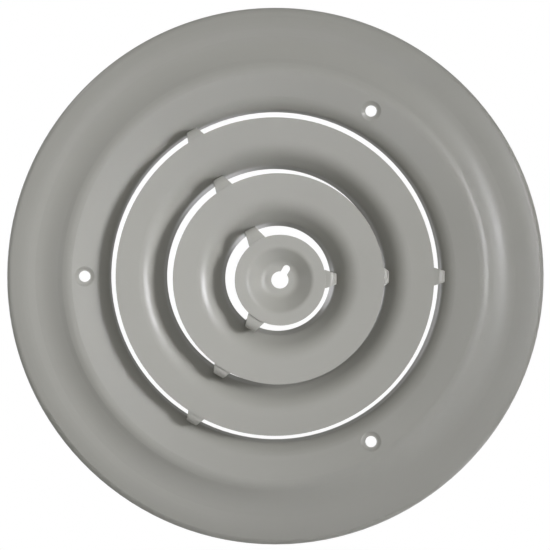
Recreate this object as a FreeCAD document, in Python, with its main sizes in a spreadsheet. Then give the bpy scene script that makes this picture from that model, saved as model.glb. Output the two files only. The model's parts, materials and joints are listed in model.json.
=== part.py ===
"""Round step-down ceiling air diffuser: a stamped frame with a duct neck, three nested
stamped rings hung in its throat, and the nine strap brackets that carry one ring from
the next. The room is below the ceiling plane, so "drop" is a distance in -Z."""

import FreeCAD, Part
import math
import os

import Sketcher

# Driving dimensions in millimetres and degrees. A "drop" is measured down from the
# ceiling plane and a "rise" up from it. A "shift" is how far off the frame's axis a ring
# hangs from its straps.
SIZES = {
    "sheet_gauge": 0.9,
    # Frame: rolled rim and its brow, coved border, crown ridge, knee and drawn duct neck.
    "rim_radius": 158.75,
    "rim_drop": 3.9,
    "rim_bend": 4.0,
    "brow_radius": 149.5,
    "brow_drop": 5.5,
    "brow_bend": 30.0,
    "border_radius": 134.5,
    "border_drop": 4.9,
    "border_bend": 24.0,
    "ridge_radius": 122.8,
    "ridge_drop": 12.1,
    "ridge_bend": 8.0,
    "frame_knee_radius": 102.7,
    "frame_knee_drop": 7.6,
    "frame_knee_bend": 12.0,
    "neck_radius": 98.0,
    "neck_start_drop": 3.0,
    "neck_bend": 4.0,
    "neck_rise": 18.0,
    # Screw dimples in the frame, between the ridge and the knee.
    "screw_count": 3.0,
    "screw_angle": 60.0,
    "screw_circle_radius": 112.3,
    "screw_hole_radius": 3.3,
    "dimple_depth": 1.0,
    "dimple_floor_radius": 4.2,
    "dimple_mouth_radius": 5.9,
    "dimple_back_floor_radius": 4.45,
    "dimple_back_mouth_radius": 6.9,
    # Middle ring.
    "mid_edge_radius": 92.9,
    "mid_edge_drop": 21.0,
    "mid_knee_radius": 73.3,
    "mid_knee_drop": 19.7,
    "mid_knee_bend": 13.0,
    "mid_collar_radius": 65.2,
    "mid_collar_drop": 8.0,
    "mid_collar_bend": 8.0,
    "mid_throat_radius": 63.5,
    "mid_throat_rise": 3.0,
    "mid_shift_x": -0.6,
    "mid_shift_y": 0.0,
    # Inner ring.
    "inner_edge_radius": 61.2,
    "inner_edge_drop": 30.0,
    "inner_knee_radius": 41.7,
    "inner_knee_drop": 28.7,
    "inner_knee_bend": 13.0,
    "inner_collar_radius": 33.0,
    "inner_collar_drop": 17.0,
    "inner_collar_bend": 8.0,
    "inner_throat_radius": 30.9,
    "inner_throat_drop": 6.5,
    "inner_shift_x": 1.3,
    "inner_shift_y": 1.2,
    # Centre dish and its keyhole.
    "centre_edge_radius": 26.1,
    "centre_edge_drop": 39.0,
    "centre_knee_radius": 18.7,
    "centre_knee_drop": 38.5,
    "centre_knee_bend": 4.0,
    "centre_floor_radius": 9.8,
    "centre_floor_drop": 31.2,
    "centre_floor_bend": 6.0,
    "centre_shift_x": 2.1,
    "centre_shift_y": 1.8,
    "keyhole_angle": -60.0,
    "keyhole_radius": 5.0,
    "keyhole_slot_radius": 2.1,
    "keyhole_slot_reach": 7.5,
    # Strap brackets: one weld foot behind a ring's edge, the other inside the next throat.
    "paint_film": 0.02,
    "strap_gauge": 1.0,
    "strap_root_width": 10.5,
    "strap_leg_width": 6.0,
    "strap_sweep": 50.0,
    "strap_bend": 4.0,
    "strap_count": 3.0,
    "outer_strap_inner_radius": 80.5,
    "outer_strap_outer_radius": 99.2,
    "outer_strap_landing_drop": 2.2,
    "outer_strap_end_rise": 11.5,
    "middle_strap_inner_radius": 50.0,
    "middle_strap_outer_radius": 66.6,
    "middle_strap_landing_drop": 7.0,
    "middle_strap_end_rise": 2.2,
    "inner_strap_inner_radius": 20.6,
    "inner_strap_outer_radius": 33.7,
    "inner_strap_landing_drop": 15.8,
    "inner_strap_end_drop": 7.3,
}
FULL_TURN = 360.0
TRIM_REACH = 130.0


def size(alias):
    """A sheet cell as an expression."""
    return "Sizes." + alias


def minus(expression):
    return "-(" + expression + ")"


def make_sheet(doc):
    sheet = doc.addObject("Spreadsheet::Sheet", "Sizes")
    for row, (alias, value) in enumerate(SIZES.items(), start=1):
        cell = "A%d" % row
        sheet.set(cell, str(value))
        sheet.setAlias(cell, alias)
    doc.recompute()
    return sheet


def new_body(doc, name):
    body = doc.addObject("PartDesign::Body", name)
    body.Label = name
    return body


def new_sketch(body, name, plane_role):
    """An empty sketch on one of the body's own origin planes."""
    plane = next(f for f in body.Origin.OriginFeatures if f.Role == plane_role)
    sketch = body.newObject("Sketcher::SketchObject", name)
    sketch.AttachmentSupport = (plane, [""])
    sketch.MapMode = "FlatFace"
    return sketch


def number(sketch, expression):
    return float(sketch.evalExpression(expression))


def bind(sketch, constraint, expression):
    """Adds a dimensional constraint and drives it by an expression."""
    index = sketch.addConstraint(constraint)
    sketch.setExpression("Constraints[%d]" % index, expression)


def pin_point(sketch, geometry, position, place):
    """Holds a sketch point at a place given as a pair of expressions."""
    origin, x_axis, y_axis = (-1, 1), -1, -2
    for kind, on_axis, expression in (("DistanceX", y_axis, place[0]), ("DistanceY", x_axis, place[1])):
        value = number(sketch, expression)
        if abs(value) < 1e-9:
            sketch.addConstraint(Sketcher.Constraint("PointOnObject", geometry, position, on_axis))
        elif value > 0:
            bind(sketch, Sketcher.Constraint(kind, *origin, geometry, position, value), expression)
        else:
            bind(sketch, Sketcher.Constraint(kind, geometry, position, *origin, -value), minus(expression))


def draw_polygon(sketch, places, construction_axis=None):
    """A closed outline through places, after an optional construction line to turn it about."""
    if construction_axis:
        draw_line(sketch, construction_axis, True)
    first = sketch.GeometryCount
    for start, end in zip(places, places[1:] + places[:1]):
        points = [FreeCAD.Vector(number(sketch, x), number(sketch, y), 0) for x, y in (start, end)]
        sketch.addGeometry(Part.LineSegment(*points), False)
    for i, place in enumerate(places):
        before = first + (i - 1) % len(places)
        sketch.addConstraint(Sketcher.Constraint("Coincident", before, 2, first + i, 1))
        pin_point(sketch, first + i, 1, place)


def draw_line(sketch, places, construction):
    points = [FreeCAD.Vector(number(sketch, x), number(sketch, y), 0) for x, y in places]
    line = sketch.addGeometry(Part.LineSegment(*points), construction)
    for position, place in zip((1, 2), places):
        pin_point(sketch, line, position, place)


class Bend:
    """One rounded corner of a sheet's section, worked out from its sharp corner."""

    def __init__(self, before, corner, after, radius):
        into = (corner - before).normalize()
        out = (after - corner).normalize()
        self.turn = 1 if into.cross(out).z > 0 else -1
        reach = radius * math.tan(into.getAngle(out) / 2)
        self.start = corner - into * reach
        self.end = corner + out * reach
        self.centre = self.start + left_of(into) * radius * self.turn
        self.radius = radius
        # Sketch arcs run anticlockwise, so a right-hand bend is entered at its second end.
        self.entry, self.exit = (1, 2) if self.turn > 0 else (2, 1)

    def arc(self, offset):
        """The bend's arc, or the one parallel to it at an offset to the left."""
        radius = self.radius - self.turn * offset
        angles = [math.atan2((p - self.centre).y, (p - self.centre).x) for p in (self.start, self.end)]
        first, last = angles if self.turn > 0 else reversed(angles)
        circle = Part.Circle(self.centre, FreeCAD.Vector(0, 0, 1), radius)
        return Part.ArcOfCircle(circle, first, last)

    def ends(self, offset):
        """Where the parallel arc begins and ends along the section."""
        scale = (self.radius - self.turn * offset) / self.radius
        return [self.centre + (p - self.centre) * scale for p in (self.start, self.end)]


def left_of(direction):
    return FreeCAD.Vector(-direction.y, direction.x, 0)


def draw_face(sketch, start, end, bends, offset):
    """One face of a bent sheet: straight runs joined by tangent arcs. Returns both lists."""
    stops = [start]
    for bend in bends:
        stops += bend.ends(offset)
    stops.append(end)
    runs = [sketch.addGeometry(Part.LineSegment(a, b), False) for a, b in zip(stops[::2], stops[1::2])]
    arcs = [sketch.addGeometry(bend.arc(offset), False) for bend in bends]
    for bend, arc, run, next_run in zip(bends, arcs, runs, runs[1:]):
        sketch.addConstraint(Sketcher.Constraint("Tangent", run, 2, arc, bend.entry))
        sketch.addConstraint(Sketcher.Constraint("Tangent", arc, bend.exit, next_run, 1))
    return runs, arcs


def draw_bent_sheet(sketch, places, bend_radii, gauge, side):
    """The closed section of a sheet of one gauge. places are the sharp corners of its first
    face, and side is 1 if the metal lies to the left of that face's path, or -1."""
    corners = [FreeCAD.Vector(number(sketch, x), number(sketch, y), 0) for x, y in places]
    radii = [number(sketch, r) for r in bend_radii]
    bends = [Bend(*corners[i : i + 3], radius) for i, radius in enumerate(radii)]
    offset = side * number(sketch, gauge)
    first_way = left_of((corners[1] - corners[0]).normalize()) * offset
    last_way = left_of((corners[-1] - corners[-2]).normalize()) * offset

    runs, arcs = draw_face(sketch, corners[0], corners[-1], bends, 0.0)
    back_start = corners[0] + first_way
    back_end = corners[-1] + last_way
    back_runs, back_arcs = draw_face(sketch, back_start, back_end, bends, offset)

    pin_point(sketch, runs[0], 1, places[0])
    pin_point(sketch, runs[-1], 2, places[-1])
    for i, (bend, radius) in enumerate(zip(bends, bend_radii)):
        corner = sketch.addGeometry(Part.Point(corners[i + 1]), True)
        pin_point(sketch, corner, 1, places[i + 1])
        sketch.addConstraint(Sketcher.Constraint("PointOnObject", corner, 1, runs[i]))
        sketch.addConstraint(Sketcher.Constraint("PointOnObject", corner, 1, runs[i + 1]))
        bind(sketch, Sketcher.Constraint("Radius", arcs[i], bend.radius), radius)
        sketch.addConstraint(Sketcher.Constraint("Coincident", back_arcs[i], 3, arcs[i], 3))
        sign = "-" if bend.turn * side > 0 else "+"
        parallel = bend.radius - bend.turn * offset
        bind(sketch, Sketcher.Constraint("Radius", back_arcs[i], parallel), radius + sign + gauge)
    close_sheet_end(sketch, (runs[0], 1, corners[0]), (back_runs[0], 1, back_start), gauge)
    close_sheet_end(sketch, (runs[-1], 2, corners[-1]), (back_runs[-1], 2, back_end), gauge)


def close_sheet_end(sketch, face, back, gauge):
    """The sheared edge: a line as long as the gauge, square to the face."""
    run, position, place = face
    back_run, back_position, back_place = back
    edge = sketch.addGeometry(Part.LineSegment(place, back_place), False)
    sketch.addConstraint(Sketcher.Constraint("Coincident", edge, 1, run, position))
    sketch.addConstraint(Sketcher.Constraint("Coincident", edge, 2, back_run, back_position))
    sketch.addConstraint(Sketcher.Constraint("Perpendicular", edge, run))
    bind(sketch, Sketcher.Constraint("Distance", edge, (place - back_place).Length), gauge)


def revolve(body, sketch, kind, axis="V_Axis"):
    """Turns a sketch through a full turn, adding metal (Revolution) or taking it (Groove)."""
    feature = body.newObject("PartDesign::" + kind, sketch.Name + "_" + kind.lower())
    feature.Profile = sketch
    feature.ReferenceAxis = (sketch, [axis])
    feature.Angle = FULL_TURN
    return feature


def cut_through(body, sketch):
    """Cuts a plan outline right through the body, both ways from its plane."""
    pocket = body.newObject("PartDesign::Pocket", sketch.Name + "_pocket")
    pocket.Profile = sketch
    pocket.Type = "ThroughAll"
    pocket.Midplane = True
    return pocket


def shift(ring, axis):
    """How far a ring's own axis is from the frame's, along X or Y."""
    return "0" if ring == "frame" else size("%s_shift_%s" % (ring, axis))


def place_body(body, ring, angle="0"):
    """Puts a finished body on a ring's axis, turned about it by an expression in degrees."""
    body.Placement = FreeCAD.Placement(FreeCAD.Vector(), FreeCAD.Rotation(FreeCAD.Vector(0, 0, 1), 1))
    body.setExpression("Placement.Rotation.Angle", angle)
    body.setExpression("Placement.Base.x", shift(ring, "x"))
    body.setExpression("Placement.Base.y", shift(ring, "y"))


def slope(part, inner, outer):
    """Drop gained per unit of radius between two corners of a stamped part."""
    fall = "(%s - %s)" % (size(part[1] % outer), size(part[1] % inner))
    run = "(%s - %s)" % (size(part[0] % outer), size(part[0] % inner))
    return "(%s / %s)" % (fall, run)


def build_ring(doc, name, stem, throat_height):
    """A stamped ring: near-flat flange, knee, funnel wall and a short collar."""
    body = new_body(doc, name)
    section = new_sketch(body, stem + "_section", "XZ_Plane")
    corners = [
        (size(stem + "_edge_radius"), minus(size(stem + "_edge_drop"))),
        (size(stem + "_knee_radius"), minus(size(stem + "_knee_drop"))),
        (size(stem + "_collar_radius"), minus(size(stem + "_collar_drop"))),
        (size(stem + "_throat_radius"), throat_height),
    ]
    bends = [size(stem + "_knee_bend"), size(stem + "_collar_bend")]
    draw_bent_sheet(section, corners, bends, size("sheet_gauge"), -1)
    revolve(body, section, "Revolution")
    place_body(body, stem)
    return body


def build_centre(doc):
    """The centre dish, with a keyhole through its floor."""
    body = new_body(doc, "centre_cone")
    section = new_sketch(body, "centre_section", "XZ_Plane")
    floor = minus(size("centre_floor_drop"))
    corners = [
        (size("centre_edge_radius"), minus(size("centre_edge_drop"))),
        (size("centre_knee_radius"), minus(size("centre_knee_drop"))),
        (size("centre_floor_radius"), floor),
        ("0", floor),
    ]
    bends = [size("centre_knee_bend"), size("centre_floor_bend")]
    draw_bent_sheet(section, corners, bends, size("sheet_gauge"), -1)
    revolve(body, section, "Revolution")

    hole = new_sketch(body, "keyhole_hole", "XY_Plane")
    draw_circle(hole, ("0", "0"), size("keyhole_radius"))
    cut_through(body, hole)
    slot = new_sketch(body, "keyhole_slot", "XY_Plane")
    draw_slot(slot, size("keyhole_slot_reach"), size("keyhole_slot_radius"))
    cut_through(body, slot)
    place_body(body, "centre", size("keyhole_angle"))
    return body


def draw_circle(sketch, centre, radius):
    place = FreeCAD.Vector(number(sketch, centre[0]), number(sketch, centre[1]), 0)
    value = number(sketch, radius)
    circle = sketch.addGeometry(Part.Circle(place, FreeCAD.Vector(0, 0, 1), value), False)
    pin_point(sketch, circle, 3, centre)
    bind(sketch, Sketcher.Constraint("Radius", circle, value), radius)


def draw_slot(sketch, reach, radius):
    """A round-ended slot from the origin along +X."""
    far, half = number(sketch, reach), number(sketch, radius)
    up = FreeCAD.Vector(0, 0, 1)
    quarter = math.pi / 2
    near_arc = Part.ArcOfCircle(Part.Circle(FreeCAD.Vector(), up, half), quarter, 3 * quarter)
    far_arc = Part.ArcOfCircle(Part.Circle(FreeCAD.Vector(far, 0, 0), up, half), -quarter, quarter)
    near_end, far_end = sketch.addGeometry(near_arc, False), sketch.addGeometry(far_arc, False)
    top_line = Part.LineSegment(FreeCAD.Vector(far, half, 0), FreeCAD.Vector(0, half, 0))
    low_line = Part.LineSegment(FreeCAD.Vector(0, -half, 0), FreeCAD.Vector(far, -half, 0))
    top, low = sketch.addGeometry(top_line, False), sketch.addGeometry(low_line, False)
    for joint in ((far_end, 2, top, 1), (top, 2, near_end, 1), (near_end, 2, low, 1), (low, 2, far_end, 1)):
        sketch.addConstraint(Sketcher.Constraint("Tangent", *joint))
    pin_point(sketch, near_end, 3, ("0", "0"))
    pin_point(sketch, far_end, 3, (reach, "0"))
    bind(sketch, Sketcher.Constraint("Radius", far_end, half), radius)


def build_frame(doc):
    """The outer frame with its rolled rim, ridge, duct neck and dimpled screw holes."""
    body = new_body(doc, "outer_frame")
    section = new_sketch(body, "frame_section", "XZ_Plane")
    corners = [
        (size("rim_radius"), "0"),
        (size("rim_radius"), minus(size("rim_drop"))),
        (size("brow_radius"), minus(size("brow_drop"))),
        (size("border_radius"), minus(size("border_drop"))),
        (size("ridge_radius"), minus(size("ridge_drop"))),
        (size("frame_knee_radius"), minus(size("frame_knee_drop"))),
        (size("neck_radius"), minus(size("neck_start_drop"))),
        (size("neck_radius"), size("neck_rise")),
    ]
    stations = ("rim", "brow", "border", "ridge", "frame_knee", "neck")
    bends = [size(station + "_bend") for station in stations]
    draw_bent_sheet(section, corners, bends, size("sheet_gauge"), -1)
    revolve(body, section, "Revolution")

    back = new_sketch(body, "dimple_back", "XZ_Plane")
    gauge, depth = size("sheet_gauge"), size("dimple_depth")
    back_profile = [
        ("0", depth + " + " + gauge, size("dimple_back_floor_radius")),
        ("0", "0.5 * " + gauge, size("dimple_back_mouth_radius")),
    ]
    draw_dimple(back, back_profile)
    skirt = revolve(body, back, "Revolution", "Axis0")
    recess = new_sketch(body, "dimple_recess", "XZ_Plane")
    flare = "%s + (%s - %s)" % (
        size("dimple_mouth_radius"),
        size("dimple_mouth_radius"),
        size("dimple_floor_radius"),
    )
    draw_dimple(recess, [("0", depth, size("dimple_floor_radius")), ("0", minus(depth), flare)])
    scoop = revolve(body, recess, "Groove", "Axis0")
    hole_plan = new_sketch(body, "screw_hole", "XY_Plane")
    draw_circle(hole_plan, (size("screw_circle_radius"), "0"), size("screw_hole_radius"))
    hole = cut_through(body, hole_plan)

    doc.recompute()
    pattern = body.newObject("PartDesign::PolarPattern", "screw_pattern")
    pattern.Originals = [skirt, scoop, hole]
    pattern.Axis = (section, ["V_Axis"])
    pattern.Angle = FULL_TURN
    pattern.setExpression("Occurrences", size("screw_count"))
    body.Tip = pattern
    place_body(body, "frame", size("screw_angle"))
    return body


def draw_dimple(sketch, levels):
    """Half a dimple's section about the sheet's normal at the screw circle. Each level is
    (offset, depth below the room face, radius)."""
    fall = slope(("%s_radius", "%s_drop"), "frame_knee", "ridge")
    cosine, sine = "cos(atan(%s))" % fall, "sin(atan(%s))" % fall
    surface = "(%s + (%s - %s) * %s)" % (
        size("frame_knee_drop"),
        size("screw_circle_radius"),
        size("frame_knee_radius"),
        fall,
    )

    def place(across, depth):
        x = "%s + (%s) * %s + (%s) * %s" % (size("screw_circle_radius"), across, cosine, depth, sine)
        z = "-%s - (%s) * %s + (%s) * %s" % (surface, across, sine, depth, cosine)
        return x, z

    axis = [place("0", depth) for _, depth, _ in levels]
    rim = [place(radius, depth) for _, depth, radius in levels]
    draw_polygon(sketch, axis + rim[::-1], construction_axis=axis)


def on_collar(stem_points, drop):
    """The radius of a throat wall's room face at a given drop."""
    top_radius, top_drop, end_radius, end_drop = stem_points
    share = "((%s) - (%s)) / ((%s) - (%s))" % (drop, end_drop, top_drop, end_drop)
    return "%s + (%s - %s) * %s" % (end_radius, top_radius, end_radius, share)


def strap_corners(stem, ring, wall, end_drop, ahead):
    """A strap's sharp corners: behind the flange, past its edge, and down the next throat."""
    fall = slope(("%s_radius", "%s_drop"), ring + "_knee", ring + "_edge")

    def behind_flange(radius):
        past_edge = "(%s - %s - %s)" % (radius, size(ring + "_edge_radius"), ahead)
        behind = "(%s + %s) / cos(atan(%s))" % (size("sheet_gauge"), size("paint_film"), fall)
        return "%s + %s * %s - %s" % (size(ring + "_edge_drop"), past_edge, fall, behind)

    inner = "%s + %s" % (size(stem + "_strap_inner_radius"), ahead)
    outer = size(stem + "_strap_outer_radius")
    landing = size(stem + "_strap_landing_drop")
    return [
        (inner, minus(behind_flange(inner))),
        (outer, minus(behind_flange(outer))),
        (on_collar(wall, landing), minus(landing)),
        (on_collar(wall, end_drop), minus(end_drop)),
    ]


def draw_strap_trim(sketch, edge, outer):
    """What is cut from both sides: the strap tapers from the ring's edge to its leg."""
    half_root, half_leg = "%s / 2" % size("strap_root_width"), "%s / 2" % size("strap_leg_width")
    reach = str(TRIM_REACH)
    outline = [
        ("0", half_root),
        (edge, half_root),
        (outer, half_leg),
        (reach, half_leg),
        (reach, reach),
        ("0", reach),
    ]
    draw_polygon(sketch, outline)
    draw_polygon(sketch, [(x, minus(y)) for x, y in outline])


def build_strap(doc, number_in_set, stem, ring, rim, wall, end_drop):
    """A bent strap: a foot behind the ring's flange, a tongue across the gap, a leg down
    to the throat of the next part out, called rim, and a foot lying on that throat's wall."""
    body = new_body(doc, "%s_strap_%d" % (stem, number_in_set + 1))
    angle = "(%d * 360 / %s)" % (number_in_set, size("strap_count"))
    across = ["(%s - %s)" % (shift(ring, axis), shift(rim, axis)) for axis in "xy"]
    ahead = "(%s * cos(%s) + %s * sin(%s))" % (across[0], angle, across[1], angle)

    section = new_sketch(body, "strap_section", "XZ_Plane")
    corners = strap_corners(stem, ring, wall, end_drop, ahead)
    draw_bent_sheet(section, corners, [size("strap_bend")] * 2, size("strap_gauge"), 1)
    strip = revolve(body, section, "Revolution")
    strip.setExpression("Angle", size("strap_sweep"))
    strip.Midplane = True

    trim = new_sketch(body, "strap_trim", "XY_Plane")
    edge = "%s + %s" % (size(ring + "_edge_radius"), ahead)
    draw_strap_trim(trim, edge, size(stem + "_strap_outer_radius"))
    cut_through(body, trim)
    place_body(body, rim, angle)
    return body


def build_straps(doc):
    """Three sets of three straps, from the outside in."""
    neck = (size("neck_radius"), size("neck_start_drop"), size("neck_radius"), minus(size("neck_rise")))
    mid_collar = (
        size("mid_collar_radius"),
        size("mid_collar_drop"),
        size("mid_throat_radius"),
        minus(size("mid_throat_rise")),
    )
    inner_collar = tuple(
        size("inner_" + n) for n in ("collar_radius", "collar_drop", "throat_radius", "throat_drop")
    )
    sets = (
        ("outer", "mid", "frame", neck, minus(size("outer_strap_end_rise"))),
        ("middle", "inner", "mid", mid_collar, minus(size("middle_strap_end_rise"))),
        ("inner", "centre", "inner", inner_collar, size("inner_strap_end_drop")),
    )
    numbers = range(int(SIZES["strap_count"]))
    return [build_strap(doc, i, *strap_set) for strap_set in sets for i in numbers]


def check_document(doc, bodies):
    for item in doc.Objects:
        if {"Invalid", "Error"} & set(item.State):
            raise RuntimeError("%s failed: %s" % (item.Label, item.State))
    for body in bodies:
        if body.Shape.isNull() or not body.Shape.isValid() or len(body.Shape.Solids) != 1:
            raise RuntimeError("%s is not one valid solid" % body.Label)


def main():
    doc = FreeCAD.newDocument("ceiling_air_diffuser")
    make_sheet(doc)
    bodies = [
        build_frame(doc),
        build_ring(doc, "mid_cone", "mid", size("mid_throat_rise")),
        build_ring(doc, "inner_cone", "inner", minus(size("inner_throat_drop"))),
        build_centre(doc),
    ]
    bodies += build_straps(doc)
    doc.recompute()
    check_document(doc, bodies)
    os.makedirs("parts", exist_ok=True)
    for body in bodies:
        body.Shape.exportStep("parts/%s.step" % body.Label)
        print(body.Label, round(body.Shape.Volume, 1), body.Shape.BoundBox)


main()
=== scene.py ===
"""Looks for the round step-down ceiling air diffuser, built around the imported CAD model.
Metres, in the CAD's frame: +Z runs up the duct, and the room looks up at the face from -Z."""

import json
import math

import bmesh
import bpy
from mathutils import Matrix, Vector


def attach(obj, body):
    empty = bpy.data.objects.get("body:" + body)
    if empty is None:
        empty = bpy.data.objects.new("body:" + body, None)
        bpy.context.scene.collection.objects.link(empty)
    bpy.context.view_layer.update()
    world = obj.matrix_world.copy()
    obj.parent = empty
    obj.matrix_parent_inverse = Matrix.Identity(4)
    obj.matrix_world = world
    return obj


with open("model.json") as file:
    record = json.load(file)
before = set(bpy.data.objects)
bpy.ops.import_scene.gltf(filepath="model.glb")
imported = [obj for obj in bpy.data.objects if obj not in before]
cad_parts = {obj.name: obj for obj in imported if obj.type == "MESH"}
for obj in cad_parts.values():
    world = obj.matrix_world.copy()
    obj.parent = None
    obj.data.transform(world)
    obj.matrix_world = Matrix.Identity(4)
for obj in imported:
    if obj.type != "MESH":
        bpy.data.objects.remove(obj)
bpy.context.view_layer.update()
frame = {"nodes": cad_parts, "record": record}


# ---------------------------------------------------------------- paint
def add_node(tree, kind, **values):
    """Adds a node. Values name its properties, or its inputs where no property fits."""
    node = tree.nodes.new(kind)
    for key, value in values.items():
        if hasattr(node, key):
            setattr(node, key, value)
        else:
            node.inputs[key].default_value = value
    return node


def new_material(name):
    material = bpy.data.materials.new(name)
    material.use_nodes = True
    tree = material.node_tree
    return material, tree, tree.nodes["Principled BSDF"]


def map_range(tree, source, low, high, from_low=0.0, from_high=1.0):
    """Spreads a value onto a new range, held at its ends."""
    node = add_node(tree, "ShaderNodeMapRange", clamp=True)
    ends = {"From Min": from_low, "From Max": from_high, "To Min": low, "To Max": high}
    for socket, value in ends.items():
        node.inputs[socket].default_value = value
    tree.links.new(source, node.inputs["Value"])
    return node.outputs["Result"]


# The Mix node's sockets for colours. Names can't tell them from its sockets for numbers and vectors.
MIX_FACTOR, MIX_A, MIX_B, MIX_RESULT = 0, 6, 7, 2


def tint(tree, base, factor, colour):
    """Blends a colour socket towards a fixed colour by a factor socket."""
    mix = add_node(tree, "ShaderNodeMix", data_type="RGBA", blend_type="MIX")
    tree.links.new(factor, mix.inputs[MIX_FACTOR])
    tree.links.new(base, mix.inputs[MIX_A])
    mix.inputs[MIX_B].default_value = (*colour, 1.0)
    return mix.outputs[MIX_RESULT]


def enamel(name, colour, roughness, seed):
    """Baked enamel on sheet: slow tone drift, orange peel, fine dust nibs and dull handling marks.
    Noise scales are per metre. The seed moves the pattern, so that no two paints share it."""
    material, tree, shader = new_material(name)
    place = add_node(tree, "ShaderNodeTexCoord").outputs["Object"]
    shifted = add_node(tree, "ShaderNodeVectorMath", operation="ADD")
    tree.links.new(place, shifted.inputs[0])
    shifted.inputs[1].default_value = (seed, seed, seed)
    where = shifted.outputs[0]

    def noise(scale, detail=2.0, fine_share=0.5):
        node = add_node(tree, "ShaderNodeTexNoise", Scale=scale, Detail=detail, Roughness=fine_share)
        tree.links.new(where, node.inputs["Vector"])
        return node.outputs["Fac"]

    flat = add_node(tree, "ShaderNodeRGB")
    flat.outputs[0].default_value = (*colour, 1.0)
    darker = [channel * 0.93 for channel in colour]
    dusty = [channel * 0.86 for channel in colour]
    drift = map_range(tree, noise(11.0, 3.0), 0.0, 0.5, 0.40, 0.75)
    toned = tint(tree, flat.outputs[0], drift, darker)
    nibs = map_range(tree, noise(1500.0, 1.0), 0.0, 0.8, 0.74, 0.80)
    specked = tint(tree, toned, nibs, dusty)
    tree.links.new(specked, shader.inputs["Base Color"])

    smears = map_range(tree, noise(38.0, 4.0, 0.6), roughness - 0.04, roughness + 0.07, 0.35, 0.72)
    tree.links.new(smears, shader.inputs["Roughness"])

    peel = add_node(tree, "ShaderNodeBump", Strength=0.10, Distance=0.00012)
    tree.links.new(noise(620.0, 1.5), peel.inputs["Height"])
    waves = add_node(tree, "ShaderNodeBump", Strength=0.12, Distance=0.0008)
    tree.links.new(noise(26.0, 1.0), waves.inputs["Height"])
    tree.links.new(peel.outputs["Normal"], waves.inputs["Normal"])
    tree.links.new(waves.outputs["Normal"], shader.inputs["Normal"])
    return material


PAINTS = {
    "frame_paint": enamel("frame_enamel", (0.400, 0.396, 0.358), 0.36, 0.0),
    "ring_paint": enamel("ring_enamel", (0.405, 0.401, 0.362), 0.34, 3.1),
    "strap_paint": enamel("strap_enamel", (0.392, 0.388, 0.350), 0.40, 7.7),
}
SLOTS = {part["node"]: part["material_slot"] for part in frame["record"]["subparts"]}
for name, node in frame["nodes"].items():
    for slot in node.material_slots:
        slot.material = PAINTS[SLOTS[name]]


# ---------------------------------------------------------------- spot welds
WELD_RADIUS = 0.0024
# Share of the radius, and height above the sheet in metres, from the skirt to the dished middle.
WELD_PROFILE = ((1.0, -0.00005), (0.88, 0.00026), (0.66, 0.00030), (0.44, 0.00010), (0.2, 0.00003))
WELD_SEGMENTS = 28
ABOVE_FEET = 0.05
# For each set of brackets: its axis, the radius of the foot behind the ring, the height of the other foot.
FEET = {
    "outer": ((0.0, 0.0), 0.0865, 0.0058),
    "middle": ((-0.0006, 0.0), 0.0560, -0.0015),
    "inner": ((0.0013, 0.0012), 0.0240, -0.0110),
}


def surface_hit(start, direction):
    """The point and outward normal of the first surface along a ray."""
    depsgraph = bpy.context.evaluated_depsgraph_get()
    hit, place, normal, *_ = bpy.context.scene.ray_cast(depsgraph, Vector(start), Vector(direction))
    if not hit:
        raise RuntimeError("no bracket foot along a weld's ray")
    return place, normal


def weld_places():
    """Both feet of all nine brackets."""
    places = []
    for (x, y), foot_radius, wall_height in FEET.values():
        for number in range(3):
            turn = math.radians(120 * number)
            way = Vector((math.cos(turn), math.sin(turn), 0))
            foot = Vector((x, y, ABOVE_FEET)) + way * foot_radius
            places.append(surface_hit(foot, (0, 0, -1)))
            places.append(surface_hit((x, y, wall_height), way))
    return places


def add_weld(mesh, place, normal):
    """One shallow electrode mark, a low ring round a dished middle."""
    turn = normal.to_track_quat("Z", "Y")
    rings = []
    for share, height in WELD_PROFILE:
        ring = []
        for step in range(WELD_SEGMENTS):
            angle = 2 * math.pi * step / WELD_SEGMENTS
            flat = Vector((math.cos(angle), math.sin(angle), 0)) * share * WELD_RADIUS
            ring.append(mesh.verts.new(place + turn @ (flat + Vector((0, 0, height)))))
        rings.append(ring)
    for outer, inner in zip(rings, rings[1:]):
        for i in range(WELD_SEGMENTS):
            j = (i + 1) % WELD_SEGMENTS
            mesh.faces.new((outer[i], outer[j], inner[j], inner[i])).smooth = True
    mesh.faces.new(rings[-1]).smooth = True


def make_welds(material):
    mesh = bmesh.new()
    for place, normal in weld_places():
        add_weld(mesh, place, normal)
    data = bpy.data.meshes.new("spot_welds")
    mesh.to_mesh(data)
    mesh.free()
    data.materials.append(material)
    welds = bpy.data.objects.new("spot_welds", data)
    bpy.context.scene.collection.objects.link(welds)
    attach(welds, "root")


make_welds(PAINTS["strap_paint"])


# ---------------------------------------------------------------- light and floor
LAMP_COLOUR = (0.95, 0.95, 1.0)
AMBIENT = 0.30
FLOOR_Z = -4.0
HALF_FLOOR = 4.0
FLOOR_COLOUR = (0.8, 0.8, 0.78, 1)
FLOOR_ROUGHNESS = 0.8


def aim(item, place, target):
    item.location = place
    item.rotation_euler = (Vector(target) - Vector(place)).to_track_quat("-Z", "Y").to_euler()


def area_light(name, azimuth, elevation, distance, diameter, watts, target=(0, 0, 0), spread=180):
    """A disc lamp, placed from the diffuser by its azimuth from +X and its elevation, in degrees.
    Elevation is towards the room, so a negative one is on the duct side."""
    data = bpy.data.lights.new(name, "AREA")
    data.shape = "DISK"
    data.size = diameter
    data.energy = watts
    data.spread = math.radians(spread)
    data.color = LAMP_COLOUR
    lamp = bpy.data.objects.new(name, data)
    lamp.visible_camera = False
    bpy.context.scene.collection.objects.link(lamp)
    turn, rise = math.radians(azimuth), math.radians(elevation)
    flat = math.cos(rise) * distance
    place = (flat * math.cos(turn), flat * math.sin(turn), -math.sin(rise) * distance)
    aim(lamp, place, target)


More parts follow.
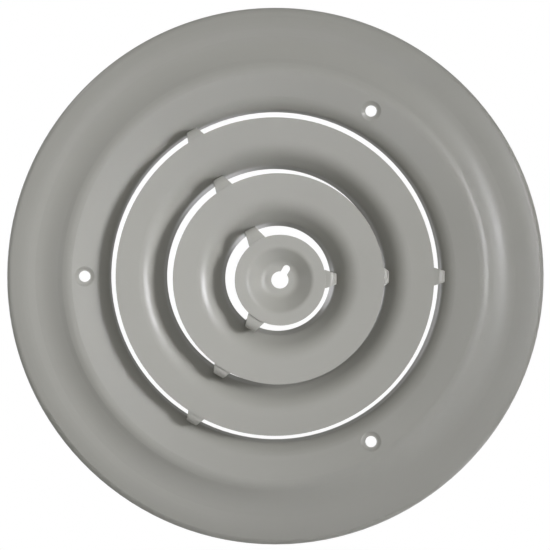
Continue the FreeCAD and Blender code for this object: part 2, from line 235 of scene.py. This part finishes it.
# On the face: a narrow key on its -X half, a lamp near the axis, and a fill from -X.
area_light("key", -10, 49, 1.2, 0.34, 0.30, target=(-0.105, 0, 0), spread=26)
area_light("front", 180, 86, 0.38, 0.22, 0.11)
area_light("left_fill", 180, 22, 1.6, 0.6, 1.2)
# On the back: two high lamps, and two level ones that light the neck's outside and not its inside.
area_light("duct_side", 55, -57, 2.2, 1.0, 5.5)
area_light("duct_far_side", 190, -57, 2.2, 1.0, 6.5)
area_light("neck_side", 45, -1, 2.2, 0.2, 5.0)
area_light("neck_far_side", -135, -1, 2.2, 0.2, 5.0)
# On the floor, which sends it back to the face as the room's light.
area_light("floor_wash", 0, 90, 2.2, 6.0, 32, target=(0, 0, FLOOR_Z))


def white_world(ambient):
    """White behind the object, and a dimmer white as the room's own light on it."""
    world = bpy.data.worlds.new("studio")
    bpy.context.scene.world = world
    world.use_nodes = True
    tree = world.node_tree
    tree.nodes.clear()
    path = add_node(tree, "ShaderNodeLightPath")
    seen = add_node(tree, "ShaderNodeBackground", Strength=1.0)
    light = add_node(tree, "ShaderNodeBackground", Strength=ambient)
    mix = add_node(tree, "ShaderNodeMixShader")
    out = add_node(tree, "ShaderNodeOutputWorld")
    for background in (seen, light):
        background.inputs["Color"].default_value = (1, 1, 1, 1)
    tree.links.new(path.outputs["Is Camera Ray"], mix.inputs[0])
    tree.links.new(light.outputs[0], mix.inputs[1])
    tree.links.new(seen.outputs[0], mix.inputs[2])
    tree.links.new(mix.outputs[0], out.inputs["Surface"])


def make_floor():
    """A pale floor below the camera, wide enough to fill a steep view from the duct side."""
    turns = ((-1, -1), (1, -1), (1, 1), (-1, 1))
    corners = [(x * HALF_FLOOR, y * HALF_FLOOR, FLOOR_Z) for x, y in turns]
    mesh = bpy.data.meshes.new("floor")
    mesh.from_pydata(corners, [], [(0, 1, 2, 3)])
    floor = bpy.data.objects.new("floor", mesh)
    bpy.context.scene.collection.objects.link(floor)
    material, _, shader = new_material("floor")
    shader.inputs["Base Color"].default_value = FLOOR_COLOUR
    shader.inputs["Roughness"].default_value = FLOOR_ROUGHNESS
    mesh.materials.append(material)


white_world(AMBIENT)
bpy.context.scene.view_settings.view_transform = "Standard"
make_floor()


# ---------------------------------------------------------------- camera
CAMERA_DISTANCE = 1.4
VIEW_WIDTH = 0.3256
SENSOR_MM = 36.0
# How far the camera stands off the diffuser's axis, towards +X and towards +Y.
TILT_X, TILT_Y = math.radians(-1.0), math.radians(-0.8)
# Where the diffuser's axis meets the picture, as shares of its width right of and below the middle.
AXIS_RIGHT, AXIS_DOWN = 0.0006, 0.0020


def make_camera():
    """The photograph's view, square to the face. Lens shift brings the diffuser back to the middle."""
    data = bpy.data.cameras.new("camera")
    data.sensor_width = SENSOR_MM
    data.lens = SENSOR_MM * CAMERA_DISTANCE / VIEW_WIDTH
    camera = bpy.data.objects.new("camera", data)
    bpy.context.scene.collection.objects.link(camera)
    x, y = CAMERA_DISTANCE * math.tan(TILT_X), CAMERA_DISTANCE * math.tan(TILT_Y)
    camera.location = (x, y, -CAMERA_DISTANCE)
    # Looking up the duct with -Y at the top of the picture puts +X on the right.
    camera.rotation_euler = (math.pi, 0, 0)
    data.shift_x = -x / VIEW_WIDTH - AXIS_RIGHT
    data.shift_y = y / VIEW_WIDTH + AXIS_DOWN
    bpy.context.scene.camera = camera


make_camera()
